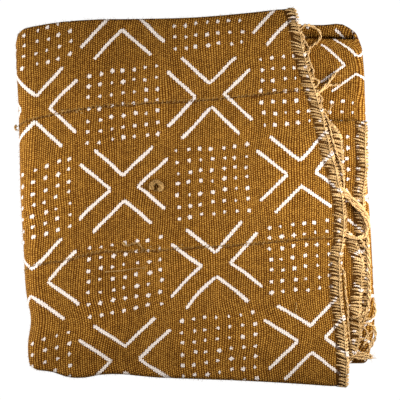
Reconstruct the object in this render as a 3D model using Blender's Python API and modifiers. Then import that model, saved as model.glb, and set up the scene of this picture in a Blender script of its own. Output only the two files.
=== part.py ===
"""Folded bogolan mud cloth: seven handwoven cotton strips sewn edge to edge, with both cut ends
whipped over in thick yarn. The cloth is folded in three across its strips, then in half and in half
again along them, and lies flat. Metres, +Z up, +X along the strips, the open ends at the right."""

import math

import bmesh
import bpy
import numpy as np

# The cloth itself.
CLOTH_THICKNESS = 0.0018
WHIPPED_THICKNESS = 0.0024
WHIPPED_WIDTH = 0.012
SEWN_GAP = 0.0003
WHIPPED_GAP = 0.0008
LAYER_PITCH = 0.003

# The fold in three, across the strips: the middle third faces out, with a flap under each edge.
FOLDED_DEPTH = 0.362
LEFT_DEPTH = 0.340
MIDDLE_WIDTHS = {"top_edge_to_seam": 0.082, "strip": 0.146}
INNER_FLAP_WIDTHS = {"top_edge_to_seam": 0.060, "strip": 0.146}
OUTER_FLAP_WIDTHS = {"bottom_edge_to_seam": 0.006, "strip": 0.132, "last_strip": 0.123}

# The two folds in half, along the strips: four panels of three layers each.
PANEL_PITCH = 3 * LAYER_PITCH
OUTER_RADIUS = 1.5 * PANEL_PITCH
INNER_RADIUS = 0.5 * PANEL_PITCH
LEFT_CENTRE = OUTER_RADIUS + LAYER_PITCH
STACK_MIDDLE = CLOTH_THICKNESS / 2 + LAYER_PITCH + OUTER_RADIUS
STACK_TOP = STACK_MIDDLE + OUTER_RADIUS + LAYER_PITCH + CLOTH_THICKNESS / 2
RIGHT_CENTRE_HEIGHT = STACK_MIDDLE - PANEL_PITCH

# The middle of the folded cloth's box on the drawing that the tables below are laid out on.
MIDDLE_X = -0.00386
MIDDLE_Y = 0.00176

# Each table has two named columns. Share 0 is the bottom edge of the fold and 1 its top edge.
LEFT_FOLD = (  # share, x
    (0.0, -0.1705), (0.025, -0.172), (0.06, -0.1725), (0.145, -0.1695), (0.22, -0.174),
    (0.34, -0.1765), (0.50, -0.1795), (0.785, -0.182), (0.943, -0.1845), (0.975, -0.1845), (1.0, -0.1825),
)
RIGHT_FOLD = (  # share, x
    (0.0, 0.1675), (0.025, 0.1703), (0.05, 0.172), (0.09, 0.1745), (0.17, 0.1755), (0.26, 0.174),
    (0.40, 0.1718), (0.57, 0.168), (0.81, 0.166), (0.94, 0.164), (0.975, 0.1625), (1.0, 0.158),
)
TOP_EDGE = (  # x, y
    (-0.20, 0.165), (-0.172, 0.1715), (-0.143, 0.1765), (-0.104, 0.1795), (-0.066, 0.180), (0.0, 0.182),
    (0.051, 0.1865), (0.094, 0.1915), (0.15, 0.196),
)
BOTTOM_EDGE = (  # x, y
    (-0.20, -0.168), (-0.163, -0.1705), (-0.149, -0.172), (-0.131, -0.1775), (-0.118, -0.178),
    (-0.100, -0.175), (-0.038, -0.178), (0.042, -0.181), (0.110, -0.185), (0.15, -0.188),
)
UPPER_SEAM = (  # x, distance from the top edge
    (-0.20, 0.094), (-0.150, 0.0905), (-0.10, 0.086), (-0.05, 0.083), (0.0, 0.082), (0.15, 0.081),
)
TOP_LAYER_END = (  # share, x
    (0.0, 0.147), (0.055, 0.1475), (0.125, 0.146), (0.25, 0.1405), (0.33, 0.1405), (0.42, 0.145),
    (0.49, 0.143), (0.61, 0.132), (0.685, 0.125), (0.73, 0.121), (0.79, 0.1135), (0.87, 0.105),
    (0.925, 0.101), (0.967, 0.098), (1.0, 0.0940),
)
UPPER_FLAP_END = (  # share, x: the flap that the top layer turns into at its bottom edge
    (0.0, 0.146), (0.045, 0.147), (0.07, 0.1535), (0.105, 0.159), (0.20, 0.1605), (0.355, 0.160),
    (0.39, 0.1535), (0.425, 0.1445), (0.55, 0.1440), (0.63, 0.1425), (0.665, 0.1405), (0.72, 0.1250),
    (1.0, 0.100),
)
LOWER_FLAP_END = (  # share, x: the same flap on the panel below
    (0.0, 0.139), (0.035, 0.1395), (0.07, 0.149), (0.11, 0.159), (0.16, 0.1665), (0.30, 0.1690),
    (0.38, 0.168), (0.44, 0.1645), (0.60, 0.167), (0.72, 0.1665), (1.0, 0.165),
)
UPPER_HIDDEN_STEP = 0.002
LOWER_HIDDEN_STEP = 0.009

# The bottom and top edges of the three panels below, from the floor up.
LOWER_EDGES = {  # panel: bottom edge as x, y; top edge as x, y
    "fourth": (
        ((-0.18, -0.167), (0.17, -0.165)),
        ((-0.18, 0.167), (0.05, 0.174), (0.125, 0.1760), (0.147, 0.1755), (0.156, 0.169), (0.165, 0.161)),
    ),
    "third": (((-0.18, -0.168), (0.17, -0.164)), ((-0.18, 0.166), (0.17, 0.1605))),
    "second": (((-0.18, -0.168), (0.12, -0.170), (0.17, -0.1665)), ((-0.18, 0.167), (0.17, 0.164))),
}
PANEL_STEPS = ((0.14, 0.34), (0.40, 0.60), (0.64, 0.86))  # shares of the height

# Soft hollows in the stack, as the cloth lies.
EDGE_DROOP = {"bottom": (0.11, 0.022), "top": (0.05, 0.018), "ends": (0.04, 0.040), "left": (0.06, 0.035)}
LEFT_EDGE = -0.184
OVERHANG_DROOP = {"bottom": (0.12, -0.170, -0.196), "top": (0.16, 0.170, 0.205)}  # share, from y, to y
HOLLOWS = (  # x, y, radius, share of the height
    (0.045, 0.035, 0.045, 0.040), (-0.020, -0.100, 0.055, 0.030), (-0.110, 0.090, 0.050, 0.025),
    (0.100, -0.120, 0.050, 0.030), (0.090, 0.120, 0.040, 0.030),
)

# Segments of each stretch, and the rows that all the layers have, as shares of the depth.
FLAT_STEPS = 9
OUTER_STEPS = 9
INNER_STEPS = 6
TOP_TURN_STEPS = 5
BOTTOM_TURN_STEPS = 6
ROW_SHARES = (
    0.028, 0.05, 0.078, 0.115, 0.17, 0.27, 0.355, 0.425,
    0.51, 0.60, 0.71, 0.81, 0.89, 0.94, 0.972,
)
ROW_CLEARANCE = 0.009

# Loose ends of the whipping yarn: places on the drawing, with the height of each.
YARN_SIDES = 4
YARN_POINT_STEP = 0.005
TAILS = {  # radius, route
    "upper": (
        (0.0011, ((0.095, 0.166, 0.0322), (0.105, 0.1745, 0.0300), (0.113, 0.1738, 0.0240),
                  (0.1195, 0.1700, 0.0205), (0.1212, 0.1645, 0.0190), (0.1170, 0.158, 0.0187),
                  (0.1105, 0.152, 0.0186), (0.1088, 0.144, 0.0186), (0.1108, 0.137, 0.0186),
                  (0.1137, 0.130, 0.0186), (0.1140, 0.1225, 0.0190))),
        (0.0014, ((0.110, 0.1060, 0.0312), (0.1190, 0.1085, 0.0298), (0.1255, 0.1140, 0.0240),
                  (0.1310, 0.1205, 0.0194), (0.1365, 0.1275, 0.0190))),
        (0.0010, ((0.112, 0.1025, 0.0312), (0.1225, 0.1095, 0.0278), (0.1310, 0.1150, 0.0205),
                  (0.1400, 0.1155, 0.0188))),
        (0.0008, ((0.1160, 0.0920, 0.0318), (0.1235, 0.0885, 0.0306), (0.1285, 0.0780, 0.0299),
                  (0.1305, 0.0680, 0.0299), (0.1365, 0.0485, 0.0299), (0.1425, 0.0280, 0.0299),
                  (0.1450, 0.0100, 0.0299), (0.1460, 0.0010, 0.0300))),
        (0.0018, ((0.1350, 0.0145, 0.0322), (0.1455, 0.0080, 0.0325), (0.1560, -0.0035, 0.0310),
                  (0.1645, -0.0125, 0.0288), (0.1685, -0.0205, 0.0282), (0.1680, -0.0290, 0.0286),
                  (0.1640, -0.0365, 0.0298), (0.1570, -0.0385, 0.0314), (0.1495, -0.0372, 0.0322),
                  (0.1445, -0.0345, 0.0325))),
        (0.0009, ((0.1360, -0.0640, 0.0328), (0.1430, -0.0700, 0.0328), (0.1450, -0.0800, 0.0316),
                  (0.1460, -0.0950, 0.0312), (0.1478, -0.1060, 0.0312), (0.1482, -0.1250, 0.0312),
                  (0.1492, -0.1365, 0.0312), (0.1510, -0.1430, 0.0312))),
    ),
    "lower": (
        (0.0013, ((0.1600, -0.0270, 0.0240), (0.1660, -0.0325, 0.0256), (0.1684, -0.0525, 0.0262),
                  (0.1695, -0.0725, 0.0262), (0.1700, -0.0900, 0.0262), (0.1690, -0.1030, 0.0264),
                  (0.1668, -0.1115, 0.0276), (0.1615, -0.1162, 0.0298), (0.1530, -0.1185, 0.0302))),
        (0.0011, ((0.1625, -0.1210, 0.0240), (0.1700, -0.1200, 0.0250), (0.1745, -0.1170, 0.0238),
                  (0.1765, -0.1110, 0.0210), (0.1755, -0.1040, 0.0196))),
        (0.0012, ((0.1570, -0.1265, 0.0238), (0.1680, -0.1245, 0.0250), (0.1745, -0.1275, 0.0240),
                  (0.1758, -0.1380, 0.0225), (0.1725, -0.1465, 0.0218), (0.1680, -0.1520, 0.0214))),
        (0.0010, ((0.1500, -0.1410, 0.0236), (0.1580, -0.1410, 0.0242), (0.1645, -0.1395, 0.0246),
                  (0.1695, -0.1350, 0.0246), (0.1735, -0.1318, 0.0240))),
        (0.0017, ((0.1370, -0.1535, 0.0223), (0.1480, -0.1550, 0.0221), (0.1580, -0.1560, 0.0217),
                  (0.1665, -0.1575, 0.0206), (0.1735, -0.1590, 0.0195))),
    ),
}

CLOTH_BROWN = (0.245, 0.125, 0.026)
YARN_TAN = (0.42, 0.27, 0.10)


def along(table, places):
    """A smooth curve through a table's points: cubic pieces with slopes taken from the neighbours."""
    at, value = np.array(table, float).T
    slope = np.gradient(value, at)
    places = np.clip(np.asarray(places, float), at[0], at[-1])
    i = np.clip(np.searchsorted(at, places, side="right") - 1, 0, len(at) - 2)
    width = at[i + 1] - at[i]
    f = (places - at[i]) / width
    start = (1 + 2 * f) * (1 - f) ** 2 * value[i] + f * (1 - f) ** 2 * width * slope[i]
    end = f * f * (3 - 2 * f) * value[i + 1] - f * f * (1 - f) * width * slope[i + 1]
    return start + end


def ramp(value, low, high):
    """0 below low, 1 above high, and smooth between."""
    f = np.clip((value - low) / (high - low), 0, 1)
    return f * f * (3 - 2 * f)


TOP_TURN = math.pi * LAYER_PITCH / 2
BOTTOM_TURN = math.pi * LAYER_PITCH
MIDDLE_LENGTH = FOLDED_DEPTH - 1.5 * LAYER_PITCH


def across(u):
    """The fold in three: the share of the depth and the level, at a distance u along the cloth from
    the top edge's turn, down the middle third. Below 0 it is the inner flap, past the middle third
    the bottom turn and the outer flap."""
    top, bottom = FOLDED_DEPTH / 2 - LAYER_PITCH / 2, -FOLDED_DEPTH / 2 + LAYER_PITCH
    inner, turning = u < -TOP_TURN, (u >= -TOP_TURN) & (u < 0)
    past = u - MIDDLE_LENGTH
    under, outer = (past > 0) & (past <= BOTTOM_TURN), past > BOTTOM_TURN
    top_angle = math.pi * (u + TOP_TURN) / TOP_TURN
    bottom_angle = math.pi * past / BOTTOM_TURN
    y = np.select(
        [inner, turning, under, outer],
        [
            top + u + TOP_TURN,
            top + LAYER_PITCH / 2 * np.sin(top_angle),
            bottom - LAYER_PITCH * np.sin(bottom_angle),
            bottom + past - BOTTOM_TURN,
        ],
        top - u,
    )
    level = np.select(
        [inner, turning, under, outer],
        [
            0 * u,
            LAYER_PITCH / 2 * (1 - np.cos(top_angle)),
            LAYER_PITCH * np.cos(bottom_angle),
            0 * u - LAYER_PITCH,
        ],
        LAYER_PITCH,
    )
    return y / FOLDED_DEPTH + 0.5, level


def end_lines(u, share):
    """Where the cloth's two ends lie, at a distance u along the fold in three: the end of the top
    panel, and that of the panel below it. They follow the layers round both turns."""
    on_inner = ramp(-u, 0, TOP_TURN)
    on_outer = ramp(u - MIDDLE_LENGTH, 0, BOTTOM_TURN)
    top_layer = along(TOP_LAYER_END, share)
    upper = top_layer - UPPER_HIDDEN_STEP * on_inner
    upper += (along(UPPER_FLAP_END, share) - top_layer) * on_outer
    hidden = top_layer - LOWER_HIDDEN_STEP
    lower = hidden + (along(LOWER_FLAP_END, share) - hidden) * on_outer
    return upper, lower


def edge_lines(x, height):
    """The y of the bottom and top edges at x, for a point at this height in the flat stack."""
    tables = [*LOWER_EDGES.values(), (BOTTOM_EDGE, TOP_EDGE)]
    lines = [(along(bottom, x), along(top, x)) for bottom, top in tables]
    low, high = lines[0]
    for (start, end), (next_low, next_high), (last_low, last_high) in zip(
        PANEL_STEPS, lines[1:], lines
    ):
        share = ramp(height / STACK_TOP, start, end)
        low = low + (next_low - last_low) * share
        high = high + (next_high - last_high) * share
    return low, high


def crown(x, y, low, high):
    """How high the stack stands at a place, as a share of its full height."""
    bottom_drop, bottom_reach = EDGE_DROOP["bottom"]
    top_drop, top_reach = EDGE_DROOP["top"]
    end_drop, end_reach = EDGE_DROOP["ends"]
    left_drop, left_reach = EDGE_DROOP["left"]
    height = 1 - bottom_drop * np.exp(-(((y - low) / bottom_reach) ** 2))
    height -= top_drop * np.exp(-(((high - y) / top_reach) ** 2))
    height -= end_drop * np.exp(-(((x - TOP_LAYER_END[0][1]) / end_reach) ** 2))
    height -= left_drop * np.exp(-(((x - LEFT_EDGE) / left_reach) ** 2))
    for drop, start, end in OVERHANG_DROOP.values():
        height -= drop * ramp(abs(y), abs(start), abs(end)) * (y * start > 0)
    for hollow_x, hollow_y, radius, depth in HOLLOWS:
        away = ((x - hollow_x) ** 2 + (y - hollow_y) ** 2) / radius**2
        height -= depth * np.exp(-away)
    return height


def place(share, level, flat_x, height):
    """A point of the folded stack on the drawing: flat_x is measured from the left fold."""
    x = along(LEFT_FOLD, share) + flat_x
    low, high = edge_lines(x, height)
    y = low + share * (high - low)
    rest = CLOTH_THICKNESS / 2
    z = rest + (height - rest) * crown(x, y, low, high)
    return np.stack([x - MIDDLE_X, y - MIDDLE_Y, z], axis=-1)


def panel_height(panel, level):
    """The height of a layer in one of the four panels, from the top one down."""
    return {
        "first": STACK_MIDDLE + OUTER_RADIUS + level,
        "second": STACK_MIDDLE + INNER_RADIUS - level,
        "third": STACK_MIDDLE - INNER_RADIUS + level,
        "fourth": STACK_MIDDLE - OUTER_RADIUS - level,
    }[panel]


def lengthways(share, level, upper_end, lower_end):
    """The two folds in half, for rows across the cloth: flat x and height of each station from the
    upper end, round the outer fold, along the bottom, round the right fold, back and round the
    inner fold, to the lower end."""
    right = along(RIGHT_FOLD, share) - along(LEFT_FOLD, share) - INNER_RADIUS - LAYER_PITCH
    left = np.full_like(share, LEFT_CENTRE)
    xs, heights = [], []

    def flat(panel, start, end, first=1):
        for k in range(first, FLAT_STEPS + 1):
            xs.append(start + (end - start) * k / FLAT_STEPS)
            heights.append(panel_height(panel, level))

    def turn(centre, middle, radius, start, sweep, steps):
        for k in range(1, steps):
            angle = math.radians(start + sweep * k / steps)
            xs.append(centre + radius * math.cos(angle))
            heights.append(middle + radius * math.sin(angle))

    flat("first", upper_end, left, first=0)
    turn(left, STACK_MIDDLE, OUTER_RADIUS + level, 90, 180, OUTER_STEPS)
    flat("fourth", left, right, first=0)
    turn(right, RIGHT_CENTRE_HEIGHT, INNER_RADIUS + level, -90, 180, INNER_STEPS)
    flat("third", right, left, first=0)
    turn(left, STACK_MIDDLE, INNER_RADIUS - level, 270, -180, INNER_STEPS)
    flat("second", left, lower_end, first=0)
    return np.stack(xs), np.stack(heights)


def seam_rows():
    """The distances u of the strips' two edges and of the turns inside them, strip by strip. A
    seam on the middle third is a name, because it runs askew to the folds there."""
    inner, outer = INNER_FLAP_WIDTHS, OUTER_FLAP_WIDTHS
    second_seam = -TOP_TURN - inner["top_edge_to_seam"]
    first_seam = second_seam - inner["strip"]
    fifth_seam = MIDDLE_LENGTH + BOTTOM_TURN + outer["bottom_edge_to_seam"]
    sixth_seam = fifth_seam + outer["strip"]
    top_turn = [-TOP_TURN + TOP_TURN * k / TOP_TURN_STEPS for k in range(TOP_TURN_STEPS + 1)]
    bottom_turn = [
        MIDDLE_LENGTH + BOTTOM_TURN * k / BOTTOM_TURN_STEPS for k in range(BOTTOM_TURN_STEPS + 1)
    ]
    return [
        (first_seam - inner["strip"], [], first_seam),
        (first_seam, [], second_seam),
        (second_seam, top_turn, "upper"),
        ("upper", [], "lower"),
        ("lower", bottom_turn, fifth_seam),
        (fifth_seam, [], sixth_seam),
        (sixth_seam, [], sixth_seam + outer["last_strip"]),
    ]


def seam_place(name, flat_x, height):
    """The distance u of a seam on the middle third, for stations along the cloth."""
    x = along(LEFT_FOLD, 0.7) + flat_x
    low, high = edge_lines(x, height)
    on_top = ramp(height / STACK_TOP, 0.1, 0.95)
    past = MIDDLE_WIDTHS["strip"] if name == "lower" else 0
    hidden = (UPPER_SEAM[0][1] + past) / LEFT_DEPTH * FOLDED_DEPTH
    shown = (along(UPPER_SEAM, x) + past) / (high - low) * FOLDED_DEPTH
    return hidden * (1 - on_top) + shown * on_top - LAYER_PITCH / 2


def shared_rows():
    """The distances u of the rows that all three layers have at the same shares of the depth."""
    top, bottom = FOLDED_DEPTH / 2 - LAYER_PITCH / 2, -FOLDED_DEPTH / 2 + LAYER_PITCH
    y = (np.array(ROW_SHARES) - 0.5) * FOLDED_DEPTH
    inner = y - top - TOP_TURN
    outer = y - bottom + BOTTOM_TURN + MIDDLE_LENGTH
    return np.sort(np.concatenate([inner, top - y, outer]))


def rows_between(start, fixed, end, trim):
    """The u of every row of a strip, at every station, from one sewn edge to the other."""
    low, high = np.max(start) + ROW_CLEARANCE, np.min(end) - ROW_CLEARANCE
    shared = [u for u in shared_rows() if low < u < high]
    between = [np.full_like(start, u) for u in sorted([*shared, *fixed])]
    return [start + trim, *between, end - trim]


def surface(name, points, thickness, material, collection):
    """A sheet through a grid of points, with its thickness half on either side."""
    rows, columns = points.shape[:2]
    mesh = bpy.data.meshes.new(name)
    sheet = bmesh.new()
    bmesh.ops.create_grid(sheet, x_segments=columns - 1, y_segments=rows - 1, size=0.5)
    sheet.verts.ensure_lookup_table()
    for vertex in sheet.verts:
        column = round((vertex.co.x + 0.5) * (columns - 1))
        row = round((vertex.co.y + 0.5) * (rows - 1))
        vertex.co = points[row, column]
    sheet.to_mesh(mesh)
    sheet.free()
    mesh.shade_smooth()
    mesh.materials.append(material)
    made = bpy.data.objects.new(name, mesh)
    collection.objects.link(made)
    solidify = made.modifiers.new("thickness", "SOLIDIFY")
    solidify.thickness = thickness
    solidify.offset = 0
    return made


def strip_rows(start, fixed, end):
    """The distances u of a strip's rows, one column for each station along the cloth."""
    flat_x, height = (stations[:, 0] for stations in lengthways_at(np.array([0.0])))
    sewn = [
        seam_place(edge, flat_x, height) if isinstance(edge, str) else np.full_like(flat_x, edge)
        for edge in (start, end)
    ]
    return np.array(rows_between(sewn[0], fixed, sewn[1], SEWN_GAP / 2))


def strip_points(rows):
    """The grid of one strip's middle surface, from one sewn edge to the other."""
    grid = []
    for u in rows:
        share, level = across(u)
        xs, heights = lengthways_at(u)
        station = np.arange(len(u))
        grid.append(place(share, level, xs[station, station], heights[station, station]))
    return np.array(grid)


def lengthways_at(u, short=WHIPPED_WIDTH + WHIPPED_GAP):
    """The stations of the rows at distances u, with both ends cut short by the whipped edge."""
    share, level = across(u)
    upper, lower = end_lines(u, share)
    left = along(LEFT_FOLD, share)
    return lengthways(share, level, upper - short - left, lower - short - left)


def whipped_points(which, rows):
    """The grid of a whipped edge: from the cloth's end outwards, all round the fold in three. It
    has the strips' own rows."""
    u = np.concatenate([strip[:, -1 if which == "lower" else 0] for strip in rows])
    share, level = across(u)
    end = end_lines(u, share)[which == "lower"] - along(LEFT_FOLD, share)
    height = panel_height("second" if which == "lower" else "first", level)
    across_edge = (WHIPPED_WIDTH, WHIPPED_WIDTH / 2, 0)
    return np.stack([place(share, level, end - back, height) for back in across_edge], axis=1)


def smooth_route(points):
    """Points a few millimetres apart on a smooth curve through a hand-laid route."""
    points = np.array(points, float)
    far = np.concatenate([[0], np.cumsum(np.linalg.norm(np.diff(points, axis=0), axis=1))])
    at = np.linspace(0, far[-1], max(4, round(far[-1] / YARN_POINT_STEP)) + 1)
    return np.stack([along(np.stack([far, points[:, k]], 1), at) for k in range(3)], axis=1)


def yarn(name, radius, route):
    """A loose end of yarn as a tube along its route."""
    curve = bpy.data.curves.new(name, "CURVE")
    curve.dimensions = "3D"
    curve.bevel_depth = radius
    curve.bevel_resolution = 0
    curve.use_fill_caps = True
    line = curve.splines.new("POLY")
    places = smooth_route(route) - np.array([MIDDLE_X, MIDDLE_Y, 0])
    line.points.add(len(places) - 1)
    for point, place_of in zip(line.points, places):
        point.co = (*place_of, 1)
    made = bpy.data.objects.new(name, curve)
    bpy.context.scene.collection.objects.link(made)
    bpy.context.view_layer.update()
    graph = bpy.context.evaluated_depsgraph_get()
    mesh = bpy.data.meshes.new_from_object(made.evaluated_get(graph))
    bpy.data.objects.remove(made)
    tube = bmesh.new()
    tube.from_mesh(mesh)
    bmesh.ops.remove_doubles(tube, verts=tube.verts, dist=0.00001)
    bmesh.ops.recalc_face_normals(tube, faces=tube.faces)
    tube.to_mesh(mesh)
    tube.free()
    return bpy.data.objects.new(name, mesh)


def material(name, colour, roughness):
    made = bpy.data.materials.new(name)
    made.use_nodes = True
    shader = made.node_tree.nodes["Principled BSDF"]
    shader.inputs["Base Color"].default_value = (*colour, 1)
    shader.inputs["Roughness"].default_value = roughness
    shader.inputs["Metallic"].default_value = 0
    return made


def main():
    for old in list(bpy.data.objects):
        bpy.data.objects.remove(old)
    cloth = bpy.data.collections.new("folded_mud_cloth")
    helpers = bpy.data.collections.new("helpers")
    bpy.context.scene.collection.children.link(cloth)
    bpy.context.scene.collection.children.link(helpers)
    dyed = material("dyed_cotton", CLOTH_BROWN, 0.9)
    undyed = material("whipping_yarn", YARN_TAN, 0.85)

    rows = [strip_rows(*edges) for edges in seam_rows()]
    for number, strip in enumerate(rows, 1):
        surface(f"strip_{number}", strip_points(strip), CLOTH_THICKNESS, dyed, cloth)

    for which, tails in TAILS.items():
        edge = surface(
            f"whipped_{which}_end", whipped_points(which, rows), WHIPPED_THICKNESS, undyed, cloth
        )
        for number, (radius, route) in enumerate(tails, 1):
            tail = yarn(f"{which}_loose_yarn_{number}", radius, route)
            helpers.objects.link(tail)
            tail.hide_render = True
            tail.display_type = "WIRE"
            join = edge.modifiers.new(tail.name, "BOOLEAN")
            join.operation = "UNION"
            join.object = tail


main()
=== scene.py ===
"""Looks of the folded mud cloth: the camera and light, the woven, painted strips in their folds, the
whipped ends with their loose yarns, the seams' stitches and the fibres. Metres, +Z up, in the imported
model's frame."""

import math

import bpy
import numpy as np
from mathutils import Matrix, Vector


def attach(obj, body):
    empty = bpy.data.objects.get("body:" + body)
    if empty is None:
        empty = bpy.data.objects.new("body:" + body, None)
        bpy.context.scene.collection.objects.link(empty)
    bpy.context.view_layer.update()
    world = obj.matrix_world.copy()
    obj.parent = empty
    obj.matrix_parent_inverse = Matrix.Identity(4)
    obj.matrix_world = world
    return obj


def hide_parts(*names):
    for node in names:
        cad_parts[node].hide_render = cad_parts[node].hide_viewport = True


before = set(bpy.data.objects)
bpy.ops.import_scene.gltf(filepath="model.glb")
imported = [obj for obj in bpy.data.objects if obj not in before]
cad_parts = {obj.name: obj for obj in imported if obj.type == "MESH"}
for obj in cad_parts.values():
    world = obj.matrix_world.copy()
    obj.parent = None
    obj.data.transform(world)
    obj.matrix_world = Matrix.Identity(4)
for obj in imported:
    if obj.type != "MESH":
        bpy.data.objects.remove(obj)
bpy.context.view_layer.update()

# Camera: straight above the middle of the cloth, as in the photo, on a long lens so that the
# layers hardly splay. One pixel of the photo is a millimetre of the drawing that the tables use.
MIDDLE_X = -0.00386
MIDDLE_Y = 0.00176
CLOTH_TOP = 0.034
CAMERA_RISE = 2.4
CAMERA_SHIFT = -0.0005
FIELD = 0.400
SENSOR_MM = 36
lens_camera = bpy.data.cameras.new("camera")
lens_camera.sensor_width = SENSOR_MM
lens_camera.lens = SENSOR_MM * CAMERA_RISE / FIELD
camera = bpy.data.objects.new("camera", lens_camera)
camera.location = (-MIDDLE_X, CAMERA_SHIFT - MIDDLE_Y, CLOTH_TOP + CAMERA_RISE)
bpy.context.scene.collection.objects.link(camera)
bpy.context.scene.camera = camera

# Light: two tall soft boxes, one at the left and one at the right, in a dim pale room. The folds at
# the sides catch them, and the top and bottom edges and the steps between the layers fall dark.
BOX_SIZE = (0.18, 0.62)
BOX_COLOUR = (1.0, 0.985, 0.96)
ROOM_COLOUR = (1.0, 0.985, 0.965, 1)
ROOM_STRENGTH = 0.06


def soft_box(name, place_of, aim, power):
    """A rectangular lamp at a place, turned to face the aim."""
    lamp = bpy.data.lights.new(name, "AREA")
    lamp.shape = "RECTANGLE"
    lamp.size, lamp.size_y = BOX_SIZE
    lamp.energy = power
    lamp.color = BOX_COLOUR
    made = bpy.data.objects.new(name, lamp)
    made.location = place_of
    made.rotation_euler = (Vector(aim) - Vector(place_of)).to_track_quat("-Z", "Y").to_euler()
    bpy.context.scene.collection.objects.link(made)


bpy.context.scene.view_settings.view_transform = "Standard"
soft_box("left_box", (-0.40, 0.0, 0.155), (-0.10, 0, 0), 3.05)
soft_box("right_box", (0.40, 0.03, 0.165), (0.12, 0, 0), 4.55)
room = bpy.data.worlds.new("room")
room.use_nodes = True
room_light = room.node_tree.nodes["Background"].inputs
room_light["Color"].default_value = ROOM_COLOUR
room_light["Strength"].default_value = ROOM_STRENGTH
bpy.context.scene.world = room

# Floor: a lit white table under the cloth, so bright that no shadow shows on it.
FLOOR_HALF = 3.0
floor_mesh = bpy.data.meshes.new("floor")
corners = [(x * FLOOR_HALF, y * FLOOR_HALF, 0) for x, y in ((-1, -1), (1, -1), (1, 1), (-1, 1))]
floor_mesh.from_pydata(corners, [], [(0, 1, 2, 3)])
floor = bpy.data.objects.new("floor", floor_mesh)
bpy.context.scene.collection.objects.link(floor)
lit_table = bpy.data.materials.new("lit_white_table")
lit_table.use_nodes = True
table_surface = lit_table.node_tree.nodes["Principled BSDF"]
table_surface.inputs["Base Color"].default_value = (0.02, 0.02, 0.02, 1)
table_surface.inputs["Specular IOR Level"].default_value = 0
table_surface.inputs["Emission Color"].default_value = (1, 1, 1, 1)
table_surface.inputs["Emission Strength"].default_value = 1.0
floor_mesh.materials.append(lit_table)

# Strips 1 to 7: hand-woven cotton strips about 145 mm wide, dyed mustard brown, sewn edge to edge
# and painted with an off-white pattern of crosses and blocks of dots. The cloth is folded in three
# across the strips, then in half and in half again along them, so there are twelve layers.
CLOTH_THICKNESS = 0.0018
LAYER_PITCH = 0.003
FOLDED_DEPTH = 0.362
LEFT_DEPTH = 0.340
STRIP_WIDTH = 0.146
INNER_FLAP_WIDTHS = {"top_edge_to_seam": 0.060, "strip": 0.146}
OUTER_FLAP_WIDTHS = {"bottom_edge_to_seam": 0.006, "strip": 0.132, "last_strip": 0.123}
PANEL_PITCH = 3 * LAYER_PITCH
OUTER_RADIUS = 1.5 * PANEL_PITCH
INNER_RADIUS = 0.5 * PANEL_PITCH
LEFT_CENTRE = OUTER_RADIUS + LAYER_PITCH
STACK_MIDDLE = CLOTH_THICKNESS / 2 + LAYER_PITCH + OUTER_RADIUS
STACK_TOP = STACK_MIDDLE + OUTER_RADIUS + LAYER_PITCH + CLOTH_THICKNESS / 2
RIGHT_CENTRE_HEIGHT = STACK_MIDDLE - PANEL_PITCH
TOP_TURN = math.pi * LAYER_PITCH / 2
BOTTOM_TURN = math.pi * LAYER_PITCH
MIDDLE_LENGTH = FOLDED_DEPTH - 1.5 * LAYER_PITCH

# Tables of the outline on the drawing. Share 0 is the bottom edge of the fold and 1 its top edge.
LEFT_FOLD = (  # share, x
    (0.0, -0.1705), (0.025, -0.172), (0.06, -0.1725), (0.145, -0.1695), (0.22, -0.174),
    (0.34, -0.1765), (0.50, -0.1795), (0.785, -0.182), (0.943, -0.1845), (0.975, -0.1845), (1.0, -0.1825),
)
RIGHT_FOLD = (  # share, x
    (0.0, 0.1675), (0.025, 0.1703), (0.05, 0.172), (0.09, 0.1745), (0.17, 0.1755), (0.26, 0.174),
    (0.40, 0.1718), (0.57, 0.168), (0.81, 0.166), (0.94, 0.164), (0.975, 0.1625), (1.0, 0.158),
)
TOP_EDGE = (  # x, y
    (-0.20, 0.165), (-0.172, 0.1715), (-0.143, 0.1765), (-0.104, 0.1795), (-0.066, 0.180), (0.0, 0.182),
    (0.051, 0.1865), (0.094, 0.1915), (0.15, 0.196),
)
BOTTOM_EDGE = (  # x, y
    (-0.20, -0.168), (-0.163, -0.1705), (-0.149, -0.172), (-0.131, -0.1775), (-0.118, -0.178),
    (-0.100, -0.175), (-0.038, -0.178), (0.042, -0.181), (0.110, -0.185), (0.15, -0.188),
)
UPPER_SEAM = (  # x, distance from the top edge
    (-0.20, 0.094), (-0.150, 0.0905), (-0.10, 0.086), (-0.05, 0.083), (0.0, 0.082), (0.15, 0.081),
)
TOP_LAYER_END = (  # share, x
    (0.0, 0.147), (0.055, 0.1475), (0.125, 0.146), (0.25, 0.1405), (0.33, 0.1405), (0.42, 0.145),
    (0.49, 0.143), (0.61, 0.132), (0.685, 0.125), (0.73, 0.121), (0.79, 0.1135), (0.87, 0.105),
    (0.925, 0.101), (0.967, 0.098), (1.0, 0.0940),
)
UPPER_FLAP_END = (  # share, x: the flap that the top layer turns into at its bottom edge
    (0.0, 0.146), (0.045, 0.147), (0.07, 0.1535), (0.105, 0.159), (0.20, 0.1605), (0.355, 0.160),
    (0.39, 0.1535), (0.425, 0.1445), (0.55, 0.1440), (0.63, 0.1425), (0.665, 0.1405), (0.72, 0.1250),
    (1.0, 0.100),
)
LOWER_FLAP_END = (  # share, x: the same flap on the panel below
    (0.0, 0.139), (0.035, 0.1395), (0.07, 0.149), (0.11, 0.159), (0.16, 0.1665), (0.30, 0.1690),
    (0.38, 0.168), (0.44, 0.1645), (0.60, 0.167), (0.72, 0.1665), (1.0, 0.165),
)
UPPER_HIDDEN_STEP = 0.002
LOWER_HIDDEN_STEP = 0.009
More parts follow.
